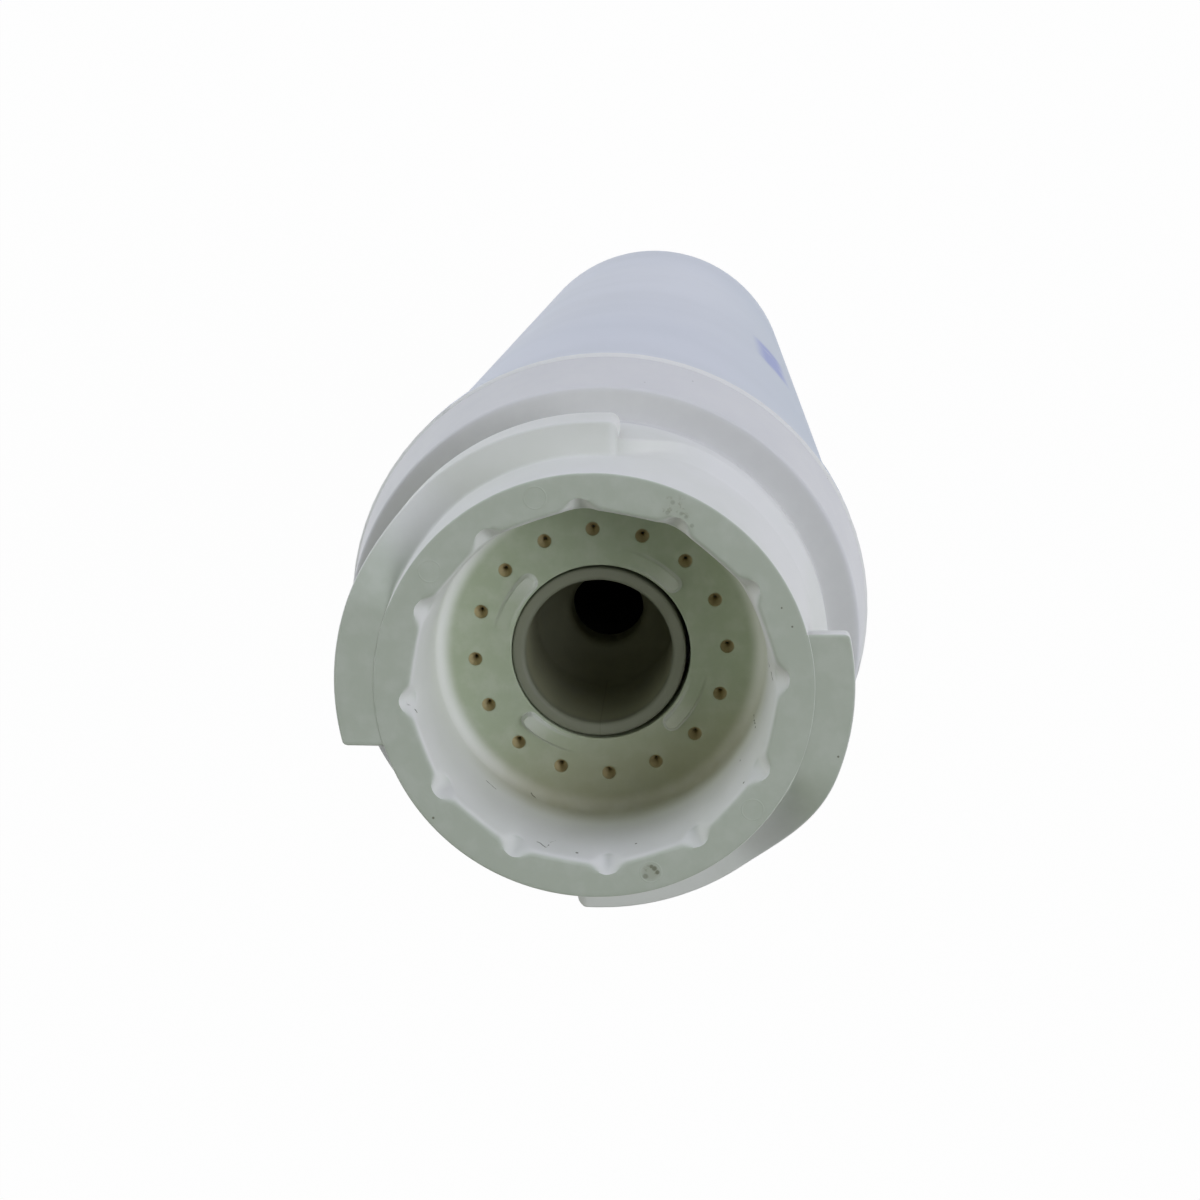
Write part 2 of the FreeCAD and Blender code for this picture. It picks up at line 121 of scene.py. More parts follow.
LINT = (
    ((-176.0, 0.9), (-171.6, 1.4)), ((-133.2, 10.2), (-129.1, 10.0)), ((-116.5, 14.4), (-113.8, 14.0)),
    ((-110.3, 2.2), (-107.0, 1.8)), ((-107.0, 1.8), (-104.4, 3.6)), ((5.5, 6.0), (1.0, 3.0)),
    ((-22.4, 14.0), (-21.3, 8.8)),
)
LINT_SIZE = 0.10
KNIT_LINE = ((8.0, -91.5), (9.8, -91.2))
KNIT_SIZE = 0.05

# Head cap, in mm: radii from its axis and depths below its front face, as in the solids
NECK = 23.0
NECK_GROWTH = 0.95
CONE_DEPTH = 12.0
RING = 25.4
RING_DEPTH = 16.0
SHOULDER_DEPTH = 20.0
SHOULDER = 29.2
COLLAR = 30.95
COLLAR_DEPTH = 33.65
CAP_DEPTH = 34.0
LUG = 27.2
LUG_TIP = 1.9
LUG_THICKNESS = 7.0
LUG_DROP = 7.0
LUG_SET_BACK = 0.1
LUG_START = 6.1
LUG_END = -2.5
FRONT_FALL = -20.0
BACK_FALL = 8.0
LOCK_ANGLE = -55.0
RAMP_FOOT = -117.0
SOCKET = 18.4
SOCKET_DEPTH = 15.2
MOUTH_GROWTH = 0.49
MOUTH_CORNER = 0.47
MOUTH_DEPTH = 7.0
DENTS = 12
DENT_PHASE = 3.6
DENT_HALF = 2.2
CORNER_SOFT = 0.22
DENT_REACH = 0.55
DENT_DEPTH = 1.5
DENT_TRAIL = 0.28
LIP = 19.4
LIP_CORNER = 0.48
LIP_DEPTH = 1.1
UNDERSIDE_DEPTH = 18.0
INLETS = 16
INLET_PHASE = 3.0
INLET_CIRCLE = 14.13
INLET = 0.75
PADS = 4
PAD_PHASE = 44.5
PAD_SWEEP = 33.0
PAD_MIDDLE = 11.28
PAD_HALF = 1.0
PAD_HEIGHT = 0.7
PAD_SOFT = 0.35
FLOOR_HOLE = 10.03
FLOOR_HOLE_SOFT = 0.15

# Waves of the moulded lip: size in mm, waves in a turn, and phase
LIP_WAVES = ((0.025, 17.0, 0.6), (0.02, 41.0, 2.1), (0.012, 89.0, 0.0))

# Hidden inside of the head cap, in mm as above
PILOT = 27.85
PILOT_BORE = 26.35
PILOT_END = 39.0
CHAMBER = 20.0
CHAMBER_DEPTH = 23.0
BOSS = 13.1
BOSS_END = 33.0
GLAND = 11.8
GLAND_DEPTH = 22.6
GLAND_LEAD = 0.25

# Inlet holes: the ring of floor that holds them, their outline and that of the residue, as radius and depth
INLET_RING_IN = 13.2
INLET_RING_OUT = 15.1
INLET_FLAT = 0.9
INLET_OUTLINE = ((INLET_FLAT, SOCKET_DEPTH), (0.79, 15.25), (INLET, 15.38), (INLET, 16.6),
                 (INLET, UNDERSIDE_DEPTH))
RESIDUE = 0.74
RESIDUE_OUTLINE = ((RESIDUE, 15.75), (0.60, 16.0), (0.40, 16.2), (0.20, 16.5), (0.20, 17.4), (RESIDUE, 17.6))
RESIDUE_WAVE = 0.03
RESIDUE_FACETS = 24

# Rings left by the ejector pins: radius, and their outline as steps from it and depths
EJECTOR_RADIUS = 1.15
EJECTOR_OUTLINE = ((-0.14, 0.04), (-0.07, -0.012), (0.0, -0.02), (0.07, -0.012), (0.14, 0.04))
EJECTOR_FACETS = 64

# Outlet tube with its disc, in mm as above
BORE = 8.25
TUBE = 9.75
TUBE_RIM = 15.3
SEAT = 11.5
SEAT_DEPTH = 26.0
DISC_TOP = 36.2
BORE_FLOOR = 35.9
BORE_TAPER = 2.4
OUTLET = 4.35
OUTLET_SOFT = 0.4
OUTLET_FLARE = 0.65
SKIRT_WALL = 1.2
SKIRT_LENGTH = 6.0
TUBE_SOFT_IN = 0.6
TUBE_SOFT_DOWN = 0.5
TUBE_SOFT_OUT = 0.3
TUBE_FACETS = 144

# Grid of the head cap's surface: columns of one half turn, which the other half repeats,
# rows of a lug's outline, and depths of rows on wall and ring
ROOT_ROW = 10
SHELF_ROW = 16
RIM_ROW = 21
BACK_ROW = 40
HALF_COLUMNS = 192
COLUMN_STEP = 180.0 / HALF_COLUMNS
FIRST_COLUMN = 15.1875
SECTOR_COLUMNS = 24
FIRST_SECTOR = 1
WALL_DEPTHS = (13.0, 12.0, 11.0, 10.0, 9.0, 8.0, 7.0, 6.2, 5.4, 4.6)
RING_DEPTHS = (13.3, 14.6, 15.75, 15.95, 16.2, 17.3, 18.5, 19.7)
SHOULDER_RINGS = ((25.75, 0.9), (26.6, 0.6), (27.4, 0.3), (28.2, 0.1))

# Columns drawn together, in mm from the planes of a lug's start and end, and just outside both
START_STEPS = (0.0, 0.04, 0.15, 0.3, 0.55, 1.1, 1.9)
END_STEPS = (0.0, 0.1, 0.25, 0.4, 0.55, 0.75, 1.0, 1.4, 2.1)
OUTSIDE_STEPS = (-0.012, -0.35)

# Rounds of the head cap's edges, in mm
FRONT_SOFT = 0.25
ROOT_HOLLOW = 0.4
UNDER_GAP = 0.3
LEAST_STEP = 0.03
RING_SOFT = 0.2
RING_FOOT = 0.08
SHOULDER_SOFT = 0.3
SHOULDER_LEAN = 0.04
SEAM_SOFT = 0.15
SOCKET_ROUND = 1.5
EDGE_SOFT = 0.3
START_SOFT = 0.5
END_SOFT = 1.0
END_STEP = 0.5
END_CORNER = 0.9


def make_camera():
    """Camera of the photograph."""
    data = bpy.data.cameras.new("photo_camera")
    data.sensor_width = 36.0
    data.sensor_fit = "HORIZONTAL"
    data.lens = CAMERA_LENS
    data.shift_x, data.shift_y = CAMERA_SHIFT
    data.clip_start = 0.01
    data.clip_end = 10.0
    camera = bpy.data.objects.new("photo_camera", data)
    forward = CAMERA_LOOK.normalized()
    up = Vector((1, 0, 0)).cross(forward).normalized()
    right = forward.cross(up).normalized()
    place = Vector((0, 0, FRONT)) + CAMERA_OFFSET
    camera.matrix_world = Matrix((
        (right.x, up.x, -forward.x, place.x),
        (right.y, up.y, -forward.y, place.y),
        (right.z, up.z, -forward.z, place.z),
        (0, 0, 0, 1),
    ))
    scene.collection.objects.link(camera)
    scene.camera = camera


class Tree:
    """Short calls for building one node tree."""

    def __init__(self, tree):
        self.tree = tree

    def add(self, kind, inputs=None, **settings):
        """A node with its settings, and its inputs linked or set."""
        node = self.tree.nodes.new(kind)
        for name, value in settings.items():
            setattr(node, name, value)
        for name, value in (inputs or {}).items():
            socket = node.inputs[name]
            if isinstance(value, bpy.types.NodeSocket):
                self.tree.links.new(value, socket)
            else:
                socket.default_value = value
        return node

    def math(self, operation, first, second=0.0, clamp=False):
        node = self.add("ShaderNodeMath", {0: first, 1: second}, operation=operation)
        node.use_clamp = clamp
        return node.outputs[0]

    def ramp(self, value, low, high, to_low=0.0, to_high=1.0):
        """Smooth step of a value from one range to another."""
        node = self.add("ShaderNodeMapRange", {"Value": value, "From Min": low, "From Max": high,
                                               "To Min": to_low, "To Max": to_high})
        node.interpolation_type = "SMOOTHSTEP"
        return node.outputs["Result"]

    def noise(self, place, scale, detail=3.0, roughness=0.55):
        node = self.add("ShaderNodeTexNoise", {"Vector": place, "Scale": scale, "Detail": detail,
                                               "Roughness": roughness})
        return node.outputs["Fac"]

    def vector(self, operation, first, second=(0.0, 0.0, 0.0), scale=1.0):
        node = self.add("ShaderNodeVectorMath", {0: first, 1: second}, operation=operation)
        if operation == "SCALE":
            socket = node.inputs["Scale"]
            if isinstance(scale, bpy.types.NodeSocket):
                self.tree.links.new(scale, socket)
            else:
                socket.default_value = scale
        return node.outputs["Value" if operation in ("DOT_PRODUCT", "DISTANCE", "LENGTH") else "Vector"]

    def spot(self, place, centre, size):
        """A soft round spot."""
        return self.ramp(self.vector("DISTANCE", place, centre), 0.6 * size, 1.3 * size, 1.0, 0.0)

    def thread(self, place, first, last, size):
        """A soft thin line between two places."""
        along = Vector(last) - Vector(first)
        offset = self.vector("SUBTRACT", place, first)
        done = self.vector("DOT_PRODUCT", offset, along)
        share = self.math("MULTIPLY", done, 1.0 / along.length_squared, True)
        nearest = self.vector("SCALE", along, scale=share)
        return self.ramp(self.vector("DISTANCE", offset, nearest), 0.5 * size, 1.3 * size, 1.0, 0.0)

    def most(self, values):
        """The largest of several values."""
        found = values[0]
        for value in values[1:]:
            found = self.math("MAXIMUM", found, value)
        return found

    def times(self, *values):
        """The product of several values."""
        found = values[0]
        for value in values[1:]:
            found = self.math("MULTIPLY", found, value)
        return found

    def far(self, across, out):
        """Length of two steps at right angles."""
        return self.math("SQRT", self.math("ADD", self.times(across, across), self.times(out, out)))

    def shown(self):
        """1 for the rays that see the plain white background, 0 for those that carry light."""
        path = self.add("ShaderNodeLightPath")
        kinds = ("Is Camera Ray", "Is Glossy Ray", "Is Transmission Ray")
        return self.most([path.outputs[kind] for kind in kinds])

    def mix(self, share, first, second):
        """A blend of two colours by a share of the second."""
        node = self.add("ShaderNodeMix", data_type="RGBA", blend_type="MIX")
        for index, value in ((0, share), (6, first), (7, second)):
            socket = node.inputs[index]
            if isinstance(value, bpy.types.NodeSocket):
                self.tree.links.new(value, socket)
            elif index == 0:
                socket.default_value = value
            else:
                socket.default_value = (*value, 1.0)
        return node.outputs[2]


def make_world():
    """Sky for the light, and plain white where the camera looks past the floor."""
    world = bpy.data.worlds.new("studio")
    scene.world = world
    world.use_nodes = True
    world.node_tree.nodes.clear()
    tree = Tree(world.node_tree)
    place = tree.add("ShaderNodeTexCoord").outputs["Generated"]
    light = tree.add("ShaderNodeBackground", {"Color": (*SKY_COLOUR, 1.0), "Strength": 1.0})
    for azimuth, elevation, spread, strength, colour in SOFT_BOXES:
        turn = math.radians(azimuth)
        rise = math.radians(elevation)
        towards = (math.cos(rise) * math.cos(turn), math.cos(rise) * math.sin(turn), math.sin(rise))
        away = tree.math("ARCCOSINE", tree.vector("DOT_PRODUCT", place, towards))
        share = tree.ramp(away, 0.0, math.radians(spread), strength, 0.0)
        box = tree.add("ShaderNodeBackground", {"Color": (*colour, 1.0), "Strength": share})
        light = tree.add("ShaderNodeAddShader", {0: light.outputs[0], 1: box.outputs[0]})
    white = tree.add("ShaderNodeBackground", {"Color": (1, 1, 1, 1), "Strength": 1.0})
    both = tree.add("ShaderNodeMixShader", {0: tree.shown(), 1: light.outputs[0], 2: white.outputs[0]})
    tree.add("ShaderNodeOutputWorld", {"Surface": both.outputs[0]})


def make_floor():
    """White floor that keeps the object's shadow."""
    mesh = bpy.data.meshes.new("floor")
    half = FLOOR_HALF
    corners = [(-half, -half, 0), (half, -half, 0), (half, half, 0), (-half, half, 0)]
    mesh.from_pydata(corners, [], [(0, 1, 2, 3)])
    floor = bpy.data.objects.new("floor", mesh)
    scene.collection.objects.link(floor)
    material, tree = new_material("floor_white")
    diffuse = tree.add("ShaderNodeBsdfDiffuse", {"Color": (*FLOOR_COLOUR, 1.0)})
    white = tree.add("ShaderNodeEmission", {"Color": (1, 1, 1, 1), "Strength": 1.0})
    share = tree.math("MULTIPLY", tree.shown(), FLOOR_WHITE_SHARE)
    both = tree.add("ShaderNodeMixShader", {0: share, 1: diffuse.outputs[0], 2: white.outputs[0]})
    tree.add("ShaderNodeOutputMaterial", {"Surface": both.outputs[0]})
    mesh.materials.append(material)


def new_material(name):
    """An empty node material and its tree."""
    material = bpy.data.materials.new(name)
    material.use_nodes = True
    material.node_tree.nodes.clear()
    return material, Tree(material.node_tree)


def finish_material(tree, colour, rough, height, relief, edge=0.0, **settings):
    """Closes a material with its shader, bump and, on faceted solids, softened edges."""
    bump = tree.add("ShaderNodeBump", {"Strength": 0.5, "Distance": relief, "Height": height})
    if edge:
        soft = tree.add("ShaderNodeBevel", {"Radius": edge}, samples=6).outputs[0]
        tree.tree.links.new(soft, bump.inputs["Normal"])
    inputs = {"Base Color": colour, "Roughness": rough, "Normal": bump.outputs[0]}
    inputs.update({name.replace("_", " "): value for name, value in settings.items()})
    shader = tree.add("ShaderNodeBsdfPrincipled", inputs)
    tree.add("ShaderNodeOutputMaterial", {"Surface": shader.outputs[0]})


class Measures:
    """Sockets with a point's place in mm: radius, turn, depth below the front, and maps of face and wall."""

    def __init__(self, tree):
        self.place = tree.add("ShaderNodeTexCoord").outputs["Object"]
        parts = tree.add("ShaderNodeSeparateXYZ", {0: tree.vector("SCALE", self.place, scale=1.0 / MM)})
        right, up = parts.outputs["X"], parts.outputs["Y"]
        self.face = tree.add("ShaderNodeCombineXYZ", {"X": right, "Y": up}).outputs[0]
        self.radius = tree.vector("LENGTH", self.face)
        self.turn = tree.math("ARCTAN2", up, right)
        self.depth = tree.math("SUBTRACT", FRONT / MM, parts.outputs["Z"])
        across = tree.math("MULTIPLY", self.turn, SOCKET)
        self.wall = tree.add("ShaderNodeCombineXYZ", {"X": across, "Y": self.depth}).outputs[0]
        normal = tree.add("ShaderNodeNewGeometry").outputs["Normal"]
        self.facing = tree.add("ShaderNodeSeparateXYZ", {0: normal}).outputs["Z"]


def on_face(radius, angle):
    """Place on the map of the front face."""
    turn = math.radians(angle)
    return (radius * math.cos(turn), radius * math.sin(turn), 0.0)


def on_wall(angle, depth):
    """Place on the map of the socket's wall."""
    return (math.radians(angle) * SOCKET, depth, 0.0)


# In the materials below, noise scales are per metre, and ranges of radius and depth are in mm
def turn_within(tree, at, count, phase):
    """Angle from the nearest of several even places around the axis."""
    pitch = 2.0 * math.pi / count
    turn = tree.math("SUBTRACT", at.turn, math.radians(phase))
    return tree.add("ShaderNodeMath", {0: turn, 1: 0.5 * pitch, 2: -0.5 * pitch}, operation="WRAP").outputs[0]


def cap_grime_and_shade(tree, at, colour):
    """Painted shade with some grime: olive on the front where it faces forward, thin on the socket's wall,
    thick on its floor and towards its -Y side, grey on the shoulder and collar.
    """
    patchy = tree.ramp(tree.noise(at.place, 420.0, 3.0), 0.25, 0.65, 0.85, 1.0)
    # Painted shade with some grime on surfaces near the front that face forward
    front = tree.times(tree.ramp(at.facing, 0.35, 0.92), tree.ramp(at.depth, 1.0, 6.0, 1.0, 0.2), patchy)
    front = tree.times(front, tree.ramp(at.depth, 8.0, 12.0, 1.0, 0.0))
    colour = tree.mix(front, colour, FACE_SHADE_AND_GRIME)

    inside = tree.ramp(at.radius, 18.9, 19.6, 1.0, 0.0)
    left = tree.vector("DOT_PRODUCT", at.face, (-1.0, 0.0, 0.0))
    # Painted shade with some grime on the socket's wall, deeper down and stronger on its +X side
    wall = tree.times(inside, tree.ramp(at.depth, 6.0, 13.0), patchy, tree.ramp(left, 4.0, 15.0, 0.6, 0.2))
    colour = tree.mix(wall, colour, WALL_SHADE_AND_GRIME)
    # Painted shade with some grime, thick on the socket's floor
    bottom = tree.times(tree.ramp(at.radius, 16.4, 18.2, 1.0, 0.0), tree.ramp(at.depth, 14.0, 15.0), patchy)
    colour = tree.mix(bottom, colour, SOCKET_FLOOR_SHADE_AND_GRIME)
    # Painted shade with a silt tone, towards the socket's -Y side and deep down
    low_side = tree.ramp(tree.vector("DOT_PRODUCT", at.face, (0.25, -0.97, 0.0)), 4.0, 17.0)
    silt_and_shade = tree.times(low_side, tree.ramp(at.depth, 9.5, 14.5), inside, patchy, 0.8)
    colour = tree.mix(silt_and_shade, colour, SILT_AND_SHADE)

    # Patchy painted shade on the shoulder and collar
    film_and_shade = tree.mix(tree.ramp(at.radius, 28.4, 29.3), SHOULDER_SHADE, COLLAR_SHADE)
    return tree.mix(tree.times(tree.ramp(at.depth, 18.5, 19.8), patchy), colour, film_and_shade)


def pad_edge_wear_and_highlight(tree, at):
    """Cleaner, lighter edges of the low ramps around the tube: partly wear, partly a painted highlight."""
    past = turn_within(tree, at, PADS, PAD_PHASE)
    along = tree.math("MULTIPLY", tree.math("MINIMUM", past, 0.0), PAD_MIDDLE)
    gap = tree.far(along, tree.math("SUBTRACT", at.radius, PAD_MIDDLE))
    off_edge = tree.math("ABSOLUTE", tree.math("SUBTRACT", gap, PAD_HALF - 0.12))
    fading = tree.ramp(past, 0.0, math.radians(PAD_SWEEP), 0.55, 0.0)
    return tree.times(tree.ramp(off_edge, 0.06, 0.26, 1.0, 0.0), fading, tree.ramp(at.depth, 13.5, 14.2))


def inlet_insides(tree, at):
    """Insides of the inlet holes, below their rims: brown for residue, and for painted warm light seen down
    the holes.
    """
    across = tree.math("MULTIPLY", turn_within(tree, at, INLETS, INLET_PHASE), INLET_CIRCLE)
    gap = tree.far(across, tree.math("SUBTRACT", at.radius, INLET_CIRCLE))
    return tree.times(tree.ramp(gap, 0.78, 0.95, 1.0, 0.0), tree.ramp(at.depth, 15.2, 15.5))


def cap_marks(tree, at, colour):
    """Smudges, specks and lint, where the photograph has them, and a few loose specks everywhere."""
    front_only = tree.ramp(at.depth, 0.5, 1.0, 1.0, 0.0)
    torn = tree.ramp(tree.noise(at.place, 900.0, 4.0, 0.7), 0.50, 0.62)
    smudges = []
    for radius, angle, size, film_and_shade in SMUDGES:
        blot = tree.spot(at.face, on_face(radius, angle), size)
        smudges.append(tree.times(blot, tree.math("MAXIMUM", torn, film_and_shade)))
    colour = tree.mix(tree.times(tree.most(smudges), front_only, 0.7), colour, SMUDGE)

    specks = [tree.times(tree.spot(at.face, on_face(radius, angle), size), share)
              for radius, angle, size, share in FACE_SPECKS]
    specks = tree.times(tree.most(specks), front_only)
    within = tree.ramp(at.radius, 19.4, 19.9, 1.0, 0.0)
    dots = [tree.spot(at.wall, on_wall(angle, depth), size) for angle, depth, size in WALL_SPECKS]
    wander = tree.add("ShaderNodeTexNoise", {"Vector": at.place, "Scale": 700.0, "Detail": 1.0})
    wander = tree.vector("SUBTRACT", wander.outputs["Color"], (0.5, 0.5, 0.5))
    bent = tree.vector("ADD", at.wall, tree.vector("SCALE", wander, scale=1.1))
    lint = [tree.thread(bent, on_wall(*first), on_wall(*last), LINT_SIZE) for first, last in LINT]
    cells = tree.add("ShaderNodeTexVoronoi", {"Vector": at.place, "Scale": 190.0})
    draw = tree.add("ShaderNodeSeparateColor", {0: cells.outputs["Color"]}).outputs["Red"]
    near = tree.ramp(cells.outputs["Distance"], 0.010, 0.024, 1.0, 0.0)
    loose = tree.times(near, tree.ramp(draw, 0.80, 0.86))
    dark = tree.most([specks, tree.times(tree.most(dots + lint), within), loose])
    return tree.mix(tree.times(dark, 0.8), colour, SPECK)


def cap_material():
    """Off-white moulded plastic of the head cap with the grime, specks and lint of use, and painted shade."""
    material, tree = new_material("cap_plastic")
    at = Measures(tree)
    cloud = tree.noise(at.place, 60.0, 4.0)
    colour = tree.mix(tree.ramp(cloud, 0.35, 0.70), CAP_COLOUR, CAP_SHADE)
    colour = cap_grime_and_shade(tree, at, colour)
    # Painted highlight, partly wear, along the edges of the low ramps
    colour = tree.mix(pad_edge_wear_and_highlight(tree, at), colour, CAP_COLOUR)
    colour = tree.mix(inlet_insides(tree, at), colour, HOLE_LIGHT_AND_RESIDUE)
    colour = cap_marks(tree, at, colour)
    rough = tree.ramp(tree.noise(at.place, 150.0), 0.3, 0.7, 0.48, 0.60)
    grain = tree.noise(at.place, 1700.0, 2.0)
    finish_material(tree, colour, rough, grain, 0.00002, IOR=1.49, Specular_IOR_Level=0.25)
    return material


def sump_material():
    """Bluish white body: smooth moulding with faint clouds, painted shade down its +X side, grime in the seam
    and a plain printed bar.
    """
    material, tree = new_material("sump_plastic")
    at = Measures(tree)
    colour = tree.mix(tree.ramp(tree.noise(at.place, 25.0, 2.0), 0.35, 0.70), BODY_COLOUR, BODY_SHADE)
    # Painted shade: a soft darker band down the body's +X side
    aside = tree.math("ABSOLUTE", tree.math("SUBTRACT", at.turn, math.radians(SHADED_SIDE_TURN)))
    shaded = tree.ramp(aside, math.radians(25.0), math.radians(80.0), 1.0, 0.0)
    colour = tree.mix(shaded, colour, BODY_SIDE_SHADE)
    beside = tree.math("ABSOLUTE", tree.math("SUBTRACT", at.turn, math.radians(PRINT_TURN)))
    along = tree.math("ABSOLUTE", tree.math("SUBTRACT", at.depth, PRINT_DEPTH))
    printed = tree.times(tree.ramp(beside, math.radians(2.5), math.radians(8.5), 1.0, 0.0),
                         tree.ramp(along, 11.0, 19.0, 1.0, 0.0))
    worn = tree.ramp(tree.noise(at.place, 160.0, 3.0), 0.32, 0.50, 0.4, 0.8)
    colour = tree.mix(tree.times(printed, worn), colour, PRINT_COLOUR)
    weld = tree.ramp(at.depth, CAP_DEPTH + 0.3, CAP_DEPTH + 1.3, 1.0, 0.0)
    colour = tree.mix(weld, colour, CAP_COLOUR)
    seam = tree.ramp(tree.math("ABSOLUTE", tree.math("SUBTRACT", at.depth, CAP_DEPTH)), 0.15, 0.5, 1.0, 0.0)
    dirt = tree.ramp(tree.noise(at.place, 220.0, 3.0), 0.56, 0.72, 0.05, 0.6)
    colour = tree.mix(tree.times(seam, dirt), colour, SEAM_GRIME)
    rough = tree.ramp(tree.noise(at.place, 18.0, 1.0), 0.3, 0.7, 0.40, 0.46)
    finish_material(tree, colour, rough, tree.noise(at.place, 500.0, 1.0), 0.000004, 0.0003, IOR=1.45)
    return material


def tube_material():
    """Outlet tube plastic, darkened by painted shade of the socket, with an olive film that thickens down the
    bore and also holds painted shade.
    """
    material, tree = new_material("tube_plastic")
    at = Measures(tree)
    patchy = tree.noise(at.place, 260.0, 4.0)
    # Olive film down the bore, its colour also holding painted shade
    film_and_shade = tree.times(tree.ramp(at.depth, 15.4, 17.5, 0.1, 0.95), tree.ramp(patchy, 0.25, 0.65, 0.7, 1.0))
    colour = tree.mix(film_and_shade, TUBE_COLOUR_AND_SHADE, BORE_FILM_AND_SHADE)
    knit = tree.thread(at.face, on_face(*KNIT_LINE[0]), on_face(*KNIT_LINE[1]), KNIT_SIZE)
    colour = tree.mix(tree.times(knit, 0.5), colour, SPECK)
    rough = tree.ramp(patchy, 0.3, 0.7, 0.45, 0.58)
    finish_material(tree, colour, rough, tree.noise(at.place, 1500.0, 2.0), 0.00002, IOR=1.49)
    return material


def plain_material(name, colour, shade, scale, roughness, relief):
    """Mottled material of a hidden inner piece."""
    material, tree = new_material(name)
    place = tree.add("ShaderNodeTexCoord").outputs["Object"]
    pattern = tree.noise(place, scale, 4.0)
    finish_material(tree, tree.mix(tree.ramp(pattern, 0.35, 0.65), colour, shade),
                    tree.ramp(pattern, 0.3, 0.7, roughness - 0.06, roughness + 0.06), pattern, relief)
    return material


def dress(node, material):
    """Gives a carried-over node its finish."""
    slots = nodes[node].data.materials
    slots.clear()
    slots.append(material)


def ease(value, low, high):
    """Smooth step from 0 at low to 1 at high."""
    share = min(1.0, max(0.0, (value - low) / (high - low)))
    return share * share * (3.0 - 2.0 * share)


def run(first, last, count):
    """Points of a straight run, without its first one."""
    return [tuple(a + (b - a) * k / count for a, b in zip(first, last)) for k in range(1, count + 1)]


def bend(first, corner, last, count):
    """Points of a quarter round between two points, without the first one."""
    points = []
    for k in range(1, count + 1):
        turn = 0.5 * math.pi * k / count
        to_first = 1.0 - math.sin(turn)
        to_last = 1.0 - math.cos(turn)
        points.append(tuple(c + (a - c) * to_first + (b - c) * to_last
                            for a, c, b in zip(first, corner, last)))
    return points


def neck_radius(depth):
    """Radius of the neck with its ring at a depth."""
    if depth <= CONE_DEPTH:
        return NECK + NECK_GROWTH * depth / CONE_DEPTH
    share = min(1.0, (depth - CONE_DEPTH) / (RING_DEPTH - CONE_DEPTH))
    return NECK + NECK_GROWTH + (RING - NECK - NECK_GROWTH) * share


def lug_profile(angle, inset, corner):
    """Outline of neck, lug and ring in a column through a lug, from the front edge down."""
    front = LUG_SET_BACK + LUG_DROP * ease(angle, FRONT_FALL, LOCK_ANGLE) + inset
    lock = LUG_DROP + LUG_THICKNESS - LUG_TIP
    back = LUG_SET_BACK + LUG_TIP + lock * ease(angle, BACK_FALL, LOCK_ANGLE) - inset
    reach = LUG - corner
    edge = min(FRONT_SOFT, 0.45 * front)
    hollow = min(ROOT_HOLLOW, 0.5 * (front - edge))
    soft = min(EDGE_SOFT, 0.3 * (back - front))
    root = neck_radius(front - hollow)
    under = neck_radius(back)
    points = bend((NECK - edge, 0.0), (NECK, 0.0), (NECK, edge), 4)
    points += run((NECK, edge), (root, front - hollow), 7)
    points += bend((root, front - hollow), (root, front), (root + hollow, front), 5)
    points += run((root + hollow, front), (reach - soft, front), 5)
    points += bend((reach - soft, front), (reach, front), (reach, front + soft), 5)
    points += run((reach, front + soft), (reach, back - soft), 6)
    points += bend((reach, back - soft), (reach, back), (reach - soft, back), 4)
    points += run((reach - soft, back), (under + UNDER_GAP, back), 5)
    first = back + UNDER_GAP
    step = (CONE_DEPTH - first) / 3.0
    depths = [first, first + step, first + 2.0 * step, CONE_DEPTH, *RING_DEPTHS]
    for k, depth in enumerate(depths):
        depth = max(depth, first + LEAST_STEP * k)
        points.append((neck_radius(depth), depth))
    return edge, points


def ring_profile(angle):
    """Outline of neck and ring in a column between the lugs, with the ramp up to a lug's end."""
    free = ease(angle, END_ANGLE, RAMP_FOOT)
    ramp_top = LUG_DROP + LUG_SET_BACK + END_STEP
    top = ramp_top + (RING_DEPTH - ramp_top) * free
    fall = ROOT_HOLLOW + (RING_DEPTH - CONE_DEPTH - ROOT_HOLLOW) * free
    root = neck_radius(min(top - fall, CONE_DEPTH))
    hollow = bend((root, top - fall), (root, top), (root + ROOT_HOLLOW, top), 5)
    hollow += run((root + ROOT_HOLLOW, top), (RING - RING_SOFT, top), 5)
    slope = run((root, top - fall), (RING - 0.3 * RING_SOFT, top - RING_SOFT), 10)
    points = bend((NECK - FRONT_SOFT, 0.0), (NECK, 0.0), (NECK, FRONT_SOFT), 4)
    points += run((NECK, FRONT_SOFT), (root, top - fall), 7)
    points += [tuple(a + (b - a) * free for a, b in zip(one, two)) for one, two in zip(hollow, slope)]
    points += bend(points[-1], (RING, top), (RING, top + RING_SOFT), 5)
    points += run((RING, top + RING_SOFT), (RING, RING_DEPTHS[-1]), 27)
    return FRONT_SOFT, points


START_ANGLE = math.degrees(math.asin(LUG_START / NECK))
END_ANGLE = -math.degrees(math.acos(LUG_END / NECK))


def start_angle(step, radius=NECK):
    """Angle of the line that lies a step behind the plane of a lug's start."""
    return math.degrees(math.asin((LUG_START - step) / radius))


def end_angle(step, radius=NECK):
    """Angle of the line that lies a step before the plane of a lug's end."""
    return -math.degrees(math.acos((LUG_END + step) / radius))


class Column:
    """One upright line of the head cap's surface within a half turn."""

    def __init__(self, index):
        self.even = FIRST_COLUMN - COLUMN_STEP * index
        self.angle = self.even
        self.inset = 0.0
        self.corner = 0.0
        self.inside = self.even > END_ANGLE


def rounded(step, radius):
    """How far a round of an edge stands back at a step from the edge."""
    return radius - math.sqrt(radius * radius - max(0.0, radius - step) ** 2)


